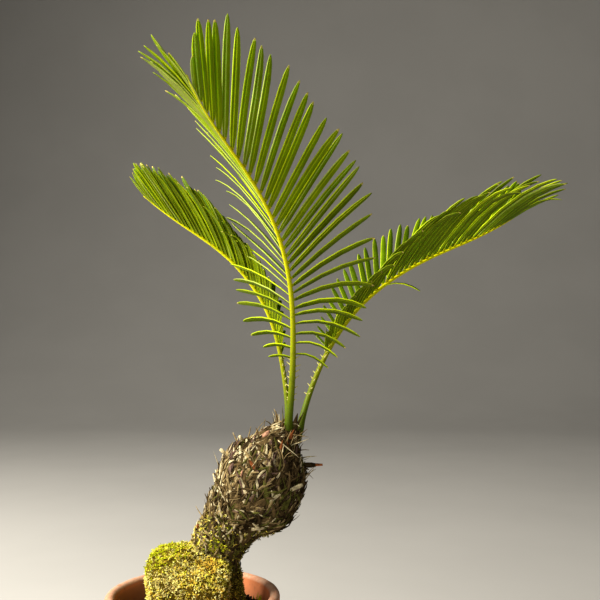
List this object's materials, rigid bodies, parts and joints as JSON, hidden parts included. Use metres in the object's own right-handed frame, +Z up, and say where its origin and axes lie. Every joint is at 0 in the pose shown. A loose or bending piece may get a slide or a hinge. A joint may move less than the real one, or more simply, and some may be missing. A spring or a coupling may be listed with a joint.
{
  "type": "potted sago palm",
  "caption": "Young sago palm with a scaly leaning trunk and arching feathered fronds, growing beside a moss cushion in a round clay pot.",
  "frame": {"origin": "middle of the pot's flat underside", "axes": "+Z up, +X to the right in the picture, +Y away from the viewer"},
  "size_m": [0.4184, 0.2598, 0.6167],
  "materials": {
    "clay": "matt fired clay with a pale bloom",
    "earth": "dark crumbly potting soil",
    "moss": "dry yellow-green moss",
    "bark": "papery straw and grey-brown leaf bases",
    "leaf": "satin green leaflets"
  },
  "bodies": {
    "root": {"pot": "clay", "soil": "earth", "moss_cushion": "moss", "trunk": "bark", "frond_front": "leaf", "frond_left": "leaf", "frond_right": "leaf"}
  },
  "joints": []
}
